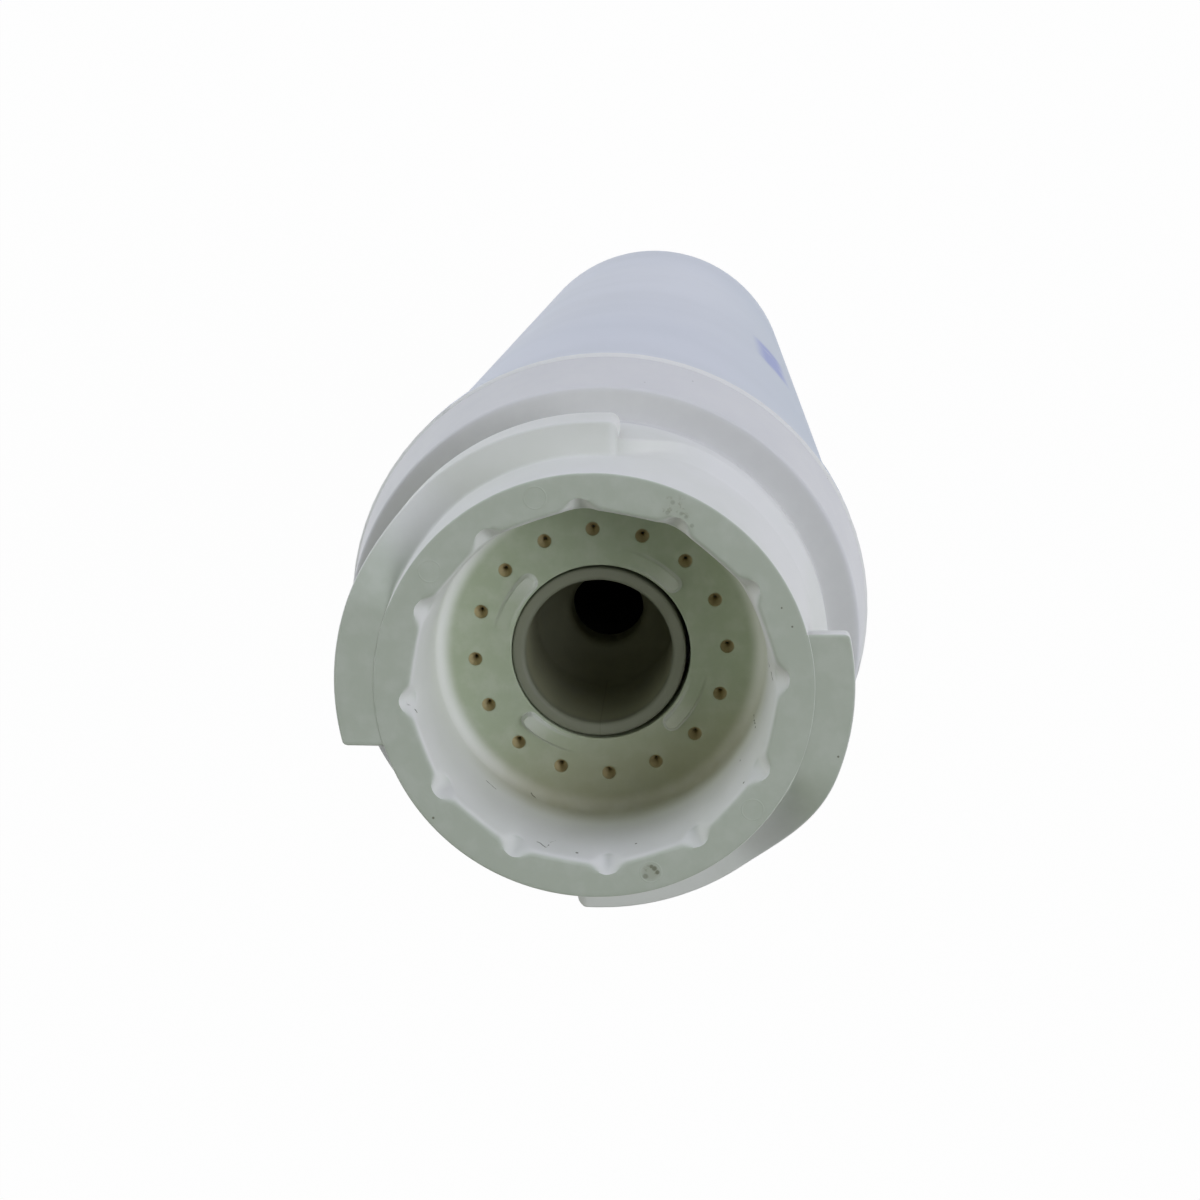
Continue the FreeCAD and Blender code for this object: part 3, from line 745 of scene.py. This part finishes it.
def make_columns():
    """Columns of a half turn, drawn together at the ends of the lug to round its edges."""
    columns = [Column(index) for index in range(HALF_COLUMNS)]
    last = sum(column.inside for column in columns) - 1
    for k, step in enumerate(START_STEPS):
        columns[k].angle = start_angle(step)
        columns[k].inset = rounded(step, EDGE_SOFT)
        columns[k].corner = rounded(step, START_SOFT)
    for k, step in enumerate(END_STEPS):
        columns[last - k].angle = end_angle(step)
        columns[last - k].inset = END_STEP * (1.0 - ease(step, 0.0, END_SOFT))
        columns[last - k].corner = rounded(step, END_CORNER)
    for k, step in enumerate(OUTSIDE_STEPS):
        columns[-1 - k].angle = start_angle(step) - 180.0
        columns[last + 1 + k].angle = end_angle(step)
    return columns, last


def column_angle(column, radius, share):
    """Angle of a column's point: even, or drawn towards the flat ends of the lugs by a share."""
    angle = column.angle
    if radius > NECK:
        turned = angle if column.inside or angle > -140.0 else angle + 180.0
        near_start = 1.0 - ease(abs(turned - START_ANGLE), 0.0, 20.0)
        near_end = 1.0 - ease(abs(angle - END_ANGLE), 0.0, 20.0)
        if near_start > 0.0:
            flat = math.degrees(math.asin(NECK * math.sin(math.radians(turned)) / radius))
            angle += near_start * (flat - turned)
        elif near_end > 0.0:
            flat = -math.degrees(math.acos(NECK * math.cos(math.radians(angle)) / radius))
            angle += near_end * (flat - angle)
    return column.even + share * (angle - column.even)


def around_dents(angle):
    """Shares of the nearest corner and of its dent at an angle around the socket."""
    pitch = 360.0 / DENTS
    away = (angle - DENT_PHASE + 0.5 * pitch) % pitch - 0.5 * pitch
    whole = math.hypot(1.0, CORNER_SOFT) - CORNER_SOFT
    share = (math.hypot(2.0 * away / pitch, CORNER_SOFT) - CORNER_SOFT) / whole
    across = min(1.0, abs(math.radians(away)) * LIP / DENT_HALF)
    return (1.0 - share) ** 2, 0.5 + 0.5 * math.cos(math.pi * across)


def wall_radius(angle, depth):
    """Radius of the socket's wall: round below, softly twelve-sided and dented towards the mouth."""
    corner, dent = around_dents(angle)
    opened = max(0.0, 1.0 - depth / MOUTH_DEPTH) ** 2
    return SOCKET + opened * (MOUTH_GROWTH + MOUTH_CORNER * corner + DENT_TRAIL * dent)


def lip_point(angle, share):
    """Radius and depth on the soft lip, from the wall at 0 to the front face at 1."""
    corner, dent = around_dents(angle)
    low = LIP_DEPTH + DENT_DEPTH * dent
    inner = wall_radius(angle, low)
    outer = LIP + LIP_CORNER * corner + DENT_REACH * dent + lip_wear(angle)
    turn = 0.5 * math.pi * share
    round_in, round_up = 1.0 - math.cos(turn), 1.0 - math.sin(turn)
    scoop = share ** 0.9
    across = round_in + (scoop - round_in) * dent
    down = round_up + (1.0 - share ** 1.15 - round_up) * dent
    return inner + (outer - inner) * across, low * down


def lip_wear(angle):
    """Slight unevenness of the moulded lip."""
    turn = math.radians(angle)
    return sum(size * math.sin(waves * turn + phase) for size, waves, phase in LIP_WAVES)


def pad_height(angle, radius):
    """Height of the low ramps around the tube above the socket's floor."""
    pitch = 360.0 / PADS
    past = (angle - PAD_PHASE + 0.5 * pitch) % pitch - 0.5 * pitch
    along = math.radians(min(past, 0.0)) * PAD_MIDDLE
    inwards = PAD_HALF - math.hypot(radius - PAD_MIDDLE, along)
    return PAD_HEIGHT * max(0.0, 1.0 - max(past, 0.0) / PAD_SWEEP) * ease(inwards, 0.0, PAD_SOFT)


def wall_point(angle, depth):
    """Radius and depth on the socket's lower wall."""
    return wall_radius(angle, depth), depth


def upper_wall_point(angle, share):
    """Radius and depth on the wall between the lower part at 0 and the lip at 1."""
    low = WALL_DEPTHS[-1]
    depth = low + (lip_point(angle, 0.0)[1] - low) * share
    return wall_radius(angle, depth), depth


def floor_point(angle, radius):
    """Radius and depth on the socket's floor with its low ramps."""
    return radius, SOCKET_DEPTH - pad_height(angle, radius)


def around(centre, radius, turn):
    """Place on a circle on the front face."""
    return centre + radius * Vector((math.cos(turn), math.sin(turn)))


class Surface:
    """Points and faces of one closed mesh, in mm."""

    def __init__(self, shift=0.0):
        self.shift = shift
        self.points = []
        self.faces = []

    def point(self, radius, angle, depth):
        turn = math.radians(angle)
        across = self.shift + radius * math.cos(turn)
        self.points.append((across * MM, radius * math.sin(turn) * MM, FRONT - depth * MM))
        return len(self.points) - 1

    def below(self, place, depth):
        """Point at a depth below a place on the front face."""
        return self.point(place.length, math.degrees(math.atan2(place.y, place.x)), depth)

    def turned(self, profile, count):
        """A closed outline of (radius, depth) turned around the axis."""
        angles = [360.0 * k / count for k in range(count)]
        rows = [[self.point(radius, angle, depth) for angle in angles] for radius, depth in profile]
        self.sheet(rows + rows[:1])

    def sheet(self, rows):
        """Quads between rows of points that close on themselves."""
        for upper, lower in zip(rows, rows[1:]):
            for k in range(len(upper)):
                after = (k + 1) % len(upper)
                self.faces.append((upper[k], upper[after], lower[after], lower[k]))

    def stitch(self, left, right):
        """Triangles between two lines of (measure, point) that start and end side by side."""
        i = j = 0
        while i < len(left) - 1 or j < len(right) - 1:
            go_left = j == len(right) - 1 or (i < len(left) - 1 and left[i + 1][0] <= right[j + 1][0])
            if go_left:
                self.faces.append((left[i][1], left[i + 1][1], right[j][1]))
                i += 1
            else:
                self.faces.append((left[i][1], right[j + 1][1], right[j][1]))
                j += 1

    def make(self, name, material, sharp):
        mesh = bpy.data.meshes.new(name)
        mesh.from_pydata(self.points, [], self.faces)
        work = bmesh.new()
        work.from_mesh(mesh)
        bmesh.ops.recalc_face_normals(work, faces=work.faces)
        work.to_mesh(mesh)
        work.free()
        mesh.shade_smooth()
        mesh.set_sharp_from_angle(angle=math.radians(sharp))
        mesh.materials.append(material)
        piece = bpy.data.objects.new(name, mesh)
        scene.collection.objects.link(piece)
        even = piece.modifiers.new("even_shading", "WEIGHTED_NORMAL")
        even.keep_sharp = True
        return piece


class HeadCap(Surface):
    """Surface of the head cap, in rows of points that all have the same columns."""

    def __init__(self):
        super().__init__()
        self.columns, self.last = make_columns()
        self.halves = [(column, -180.0 * half) for half in range(2) for column in self.columns]
        self.count = len(self.halves)
        self.profiles = []
        for column in self.columns:
            if column.inside:
                self.profiles.append(lug_profile(column.angle, column.inset, column.corner))
            else:
                self.profiles.append(ring_profile(column.angle))

    def ring(self, radius, depth, share=0.0):
        """A round row, drawn towards the flat ends of the lugs by a share."""
        return [self.point(radius, column_angle(column, radius, share) + turn, depth)
                for column, turn in self.halves]

    def shaped(self, shape, value):
        """A row at even angles, with the radii and depths that a function gives."""
        row = []
        for column, turn in self.halves:
            angle = column.even + turn
            radius, depth = shape(angle, value)
            row.append(self.point(radius, angle, depth))
        return row

    def socket_rows(self):
        """Socket floor outside the holes, its round corner, the wall and the lip."""
        flat_end = SOCKET - SOCKET_ROUND
        profile = [(INLET_RING_OUT, SOCKET_DEPTH)]
        profile += run(profile[0], (flat_end, SOCKET_DEPTH), 3)
        profile += bend((flat_end, SOCKET_DEPTH), (SOCKET, SOCKET_DEPTH),
                        (SOCKET, SOCKET_DEPTH - SOCKET_ROUND), 7)
        rows = [self.ring(radius, depth) for radius, depth in profile]
        rows += [self.shaped(wall_point, depth) for depth in WALL_DEPTHS]
        rows += [self.shaped(upper_wall_point, k / 5.0) for k in range(1, 6)]
        rows += [self.shaped(lip_point, k / 12.0) for k in range(1, 13)]
        return rows

    def front_rows(self):
        """Front face from the lip out to the edge of the neck."""
        rows = []
        for k in range(1, 8):
            row = []
            for index, (column, turn) in enumerate(self.halves):
                edge = self.profiles[index % HALF_COLUMNS][0]
                inner = lip_point(column.even + turn, 1.0)[0]
                radius = inner + (NECK - edge - inner) * k / 7.0
                row.append(self.point(radius, column_angle(column, radius, ease(k, 2, 7)) + turn, 0.0))
            rows.append(row)
        return rows

    def neck_rows(self):
        """Neck, lugs and ring, along the outlines of the columns."""
        rows = []
        for k in range(len(self.profiles[0][1])):
            row = []
            for index, (column, turn) in enumerate(self.halves):
                radius, depth = self.profiles[index % HALF_COLUMNS][1][k]
                row.append(self.point(radius, column_angle(column, radius, 1.0) + turn, depth))
            rows.append(row)
        return rows

    def collar_rows(self):
        """Shoulder, collar, seam and the hidden inside up to the underside of the floor."""
        rows = [self.ring(RING + RING_FOOT, SHOULDER_DEPTH - RING_FOOT, 1.0)]
        for radius, share in (*SHOULDER_RINGS, (SHOULDER - SHOULDER_SOFT, 0.0)):
            rows.append(self.ring(radius, SHOULDER_DEPTH, share))
        profile = bend((SHOULDER - SHOULDER_SOFT, SHOULDER_DEPTH), (SHOULDER, SHOULDER_DEPTH),
                       (SHOULDER + SHOULDER_LEAN, SHOULDER_DEPTH + SHOULDER_SOFT), 4)
        profile += run(profile[-1], (COLLAR, COLLAR_DEPTH), 8)
        profile += [(COLLAR, CAP_DEPTH - SEAM_SOFT)]
        profile += bend(profile[-1], (COLLAR, CAP_DEPTH), (COLLAR - SEAM_SOFT, CAP_DEPTH), 3)
        for corner in ((PILOT, CAP_DEPTH), (PILOT, PILOT_END), (PILOT_BORE, PILOT_END),
                       (PILOT_BORE, CHAMBER_DEPTH), (CHAMBER, CHAMBER_DEPTH),
                       (CHAMBER, UNDERSIDE_DEPTH), (INLET_RING_OUT, UNDERSIDE_DEPTH)):
            profile += run(profile[-1], corner, 2)
        return rows + [self.ring(radius, depth) for radius, depth in profile]

    def boss_rows(self):
        """Boss under the floor with its gland, and the floor around the tube with its low ramps."""
        profile = [(INLET_RING_IN, UNDERSIDE_DEPTH), (BOSS, UNDERSIDE_DEPTH + INLET_RING_IN - BOSS)]
        profile += run(profile[-1], (BOSS, BOSS_END), 2)
        profile += [(GLAND + GLAND_LEAD, BOSS_END), (GLAND, BOSS_END - GLAND_LEAD)]
        for corner in ((GLAND, GLAND_DEPTH), (FLOOR_HOLE, GLAND_DEPTH),
                       (FLOOR_HOLE, SOCKET_DEPTH + FLOOR_HOLE_SOFT)):
            profile += run(profile[-1], corner, 2)
        inner = FLOOR_HOLE + FLOOR_HOLE_SOFT
        profile += bend(profile[-1], (FLOOR_HOLE, SOCKET_DEPTH), (inner, SOCKET_DEPTH), 3)
        rows = [self.ring(radius, depth) for radius, depth in profile]
        rows += [self.shaped(floor_point, inner + (INLET_RING_IN - inner) * k / 24.0) for k in range(1, 25)]
        return rows

    def measured(self, rows, index, at_start):
        """Points of a column with the measure that pairs them across a flat end of a lug."""
        outline = self.profiles[index % HALF_COLUMNS][1]
        measures = [depth for radius, depth in outline]
        if not at_start:
            # The shelf is paired by radius, and what lies below it by depth
            for k in range(SHELF_ROW):
                measures[k] = float(k)
            for k in range(SHELF_ROW, RIM_ROW):
                measures[k] = SHELF_ROW + outline[k][0] - outline[SHELF_ROW - 1][0]
            for k in range(RIM_ROW, len(outline)):
                measures[k] += SHELF_ROW + LUG - NECK
        elif self.columns[index % HALF_COLUMNS].inside:
            low, high = measures[ROOT_ROW], measures[BACK_ROW]
            for k in range(ROOT_ROW, BACK_ROW):
                measures[k] = low + (high - low) * (k - ROOT_ROW) / (BACK_ROW - ROOT_ROW)
        measures = [-1.0, *measures, 2.0 * measures[-1]]
        return [(measure, row[index]) for measure, row in zip(measures, rows)]

    def neck_faces(self, rows):
        """Faces of neck and lugs, with triangles across the flat ends of the lugs."""
        starts = (self.count - 1, HALF_COLUMNS - 1)
        ends = (self.last, HALF_COLUMNS + self.last)
        for index in range(self.count):
            after = (index + 1) % self.count
            if index in starts or index in ends:
                at_start = index in starts
                self.stitch(self.measured(rows, index, at_start), self.measured(rows, after, at_start))
                continue
            for upper, lower in zip(rows, rows[1:]):
                self.faces.append((upper[index], upper[after], lower[after], lower[index]))

    def inlet_faces(self, floor, underside):
        """Inlet holes, each in its own sector between the outer and the inner row of floor and underside."""
        levels = {SOCKET_DEPTH: floor, UNDERSIDE_DEPTH: underside}
        radii = [INLET_RING_OUT + (INLET_RING_IN - INLET_RING_OUT) * k / 5.0 for k in range(1, 5)]
        sides = {}
        for depth in levels:
            for sector in range(INLETS):
                column, turn = self.halves[(FIRST_SECTOR + SECTOR_COLUMNS * sector) % self.count]
                sides[depth, sector] = [self.point(radius, column.even + turn, depth) for radius in radii]
        for sector in range(INLETS):
            first = FIRST_SECTOR + SECTOR_COLUMNS * sector
            span = [(first + k) % self.count for k in range(SECTOR_COLUMNS + 1)]
            loops = []
            for depth, (outer, inner) in levels.items():
                loop = [outer[k] for k in span]
                loop += sides[depth, (sector + 1) % INLETS]
                loop += [inner[k] for k in reversed(span)]
                loop += reversed(sides[depth, sector])
                loops.append(loop)
            column, turn = self.halves[(first + SECTOR_COLUMNS // 2) % self.count]
            centre = Vector(on_face(INLET_CIRCLE, column.even + turn)[:2])
            self.inlet(centre, *loops)

    def inlet(self, centre, top, bottom):
        """One hole between the loops of its sector on the floor and on the underside."""
        corners = [Vector(self.points[index][:2]) / MM for index in top]
        offsets = [corner - centre for corner in corners]
        turns = unwrapped([math.atan2(offset.y, offset.x) for offset in offsets])
        step = (turns[-1] - turns[0]) / (len(turns) - 1)
        turns = [0.6 * turn + 0.4 * (turns[0] + step * k) for k, turn in enumerate(turns)]

        def midway(depth):
            return [self.below(around(centre, INLET_FLAT, turn).lerp(corner, 0.45), depth)
                    for turn, corner in zip(turns, corners)]

        rings = [top, midway(SOCKET_DEPTH)]
        for radius, depth in INLET_OUTLINE:
            rings.append([self.below(around(centre, radius, turn), depth) for turn in turns])
        rings += [midway(UNDERSIDE_DEPTH), bottom]
        self.sheet(rings)


def make_head_cap(material):
    """The whole head cap with rounded edges, in place of its faceted solid."""
    cap = HeadCap()
    inside = cap.socket_rows() + cap.front_rows()
    neck = cap.neck_rows()
    collar = cap.collar_rows()
    cap.sheet(inside)
    cap.sheet(collar)
    cap.neck_faces([inside[-1], *neck, collar[0]])
    boss = cap.boss_rows()
    cap.sheet(boss)
    cap.inlet_faces((inside[0], boss[-1]), (collar[-1], boss[0]))
    return cap.make("head_cap_rounded", material, 40.0)


def make_ejector_marks(material):
    """Faint rings that the mould's ejector pins left on the front face."""
    surface = Surface()
    turns = [2.0 * math.pi * k / EJECTOR_FACETS for k in range(EJECTOR_FACETS)]
    for radius, angle in EJECTOR_MARKS:
        centre = Vector(on_face(radius, angle)[:2])
        rings = [[surface.below(around(centre, EJECTOR_RADIUS + out, turn), depth) for turn in turns]
                 for out, depth in EJECTOR_OUTLINE]
        surface.sheet(rings + rings[:1])
    return surface.make("ejector_marks", material, 60.0)


def make_residue(material):
    """Brown residue that narrows the inlet holes; its brown also stands in for painted warm light seen down
    them.
    """
    surface = Surface()
    turns = [2.0 * math.pi * k / RESIDUE_FACETS for k in range(RESIDUE_FACETS)]
    for hole in range(INLETS):
        centre = Vector(on_face(INLET_CIRCLE, INLET_PHASE + 360.0 * hole / INLETS)[:2])
        rings = []
        for radius, depth in RESIDUE_OUTLINE:
            wave = RESIDUE_WAVE if radius < RESIDUE else 0.0
            ring = []
            for turn in turns:
                uneven = radius + wave * math.sin(3.0 * turn + 1.7 * hole)
                ring.append(surface.below(around(centre, uneven, turn), depth))
            rings.append(ring)
        surface.sheet(rings + rings[:1])
    return surface.make("inlet_residue_and_light", material, 60.0)


def make_tube(material):
    """The outlet end cap with rounded edges, in place of its faceted solid."""
    low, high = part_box("outlet_end_cap")
    surface = Surface(0.5 * (low.x + high.x) / MM)
    disc = 0.5 * (high.x - low.x) / MM
    bottom = (FRONT - low.z) / MM
    skirt = disc - SKIRT_WALL
    floor = bottom - SKIRT_LENGTH
    bore_top = (BORE, TUBE_RIM + TUBE_SOFT_DOWN)
    profile = [bore_top]
    profile += bend(bore_top, (BORE, TUBE_RIM), (BORE + TUBE_SOFT_IN, TUBE_RIM), 6)
    profile += run(profile[-1], (TUBE - TUBE_SOFT_OUT, TUBE_RIM), 2)
    profile += bend(profile[-1], (TUBE, TUBE_RIM), (TUBE, TUBE_RIM + TUBE_SOFT_OUT), 4)
    profile += [(TUBE, UNDERSIDE_DEPTH), (TUBE, SEAT_DEPTH), (SEAT, SEAT_DEPTH), (SEAT, DISC_TOP),
                (disc, DISC_TOP), (disc, bottom), (skirt, bottom), (skirt, floor), (OUTLET, floor),
                (OUTLET, DISC_TOP + OUTLET_SOFT)]
    profile += bend(profile[-1], (OUTLET, BORE_FLOOR), (OUTLET + OUTLET_FLARE, BORE_FLOOR - OUTLET_SOFT), 5)
    profile += bend(profile[-1], (BORE, BORE_FLOOR - BORE_TAPER), (BORE, BORE_FLOOR - 2.4 * BORE_TAPER), 14)
    profile += run(profile[-1], bore_top, 6)[:-1]
    surface.turned(profile, TUBE_FACETS)
    return surface.make("outlet_tube_rounded", material, 40.0)


def unwrapped(angles):
    """Angles of a loop without jumps of a full turn."""
    smooth = [angles[0]]
    for angle in angles[1:]:
        away = (angle - smooth[-1] + math.pi) % (2.0 * math.pi) - math.pi
        smooth.append(smooth[-1] + away)
    return smooth


make_camera()
make_world()
make_floor()
scene.view_settings.view_transform = "Standard"

cap_plastic = cap_material()
dress("head_cap", cap_plastic)
dress("housing_sump", sump_material())
tube_plastic = tube_material()
dress("outlet_end_cap", tube_plastic)
for node, slot, *finish in HIDDEN_FINISHES:
    dress(node, plain_material(slot, *finish))
hot_melt = plain_material("hot_melt", (0.60, 0.50, 0.30), (0.50, 0.41, 0.23), 250.0, 0.4, 0.00005)
dress("upper_bond", hot_melt)
dress("lower_bond", hot_melt)

head_cap = make_head_cap(cap_plastic)
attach(head_cap, "root")
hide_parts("head_cap")

ejector_marks = make_ejector_marks(cap_plastic)
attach(ejector_marks, "root")

residue = make_residue(cap_plastic)
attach(residue, "root")

tube = make_tube(tube_plastic)
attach(tube, "root")
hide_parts("outlet_end_cap")
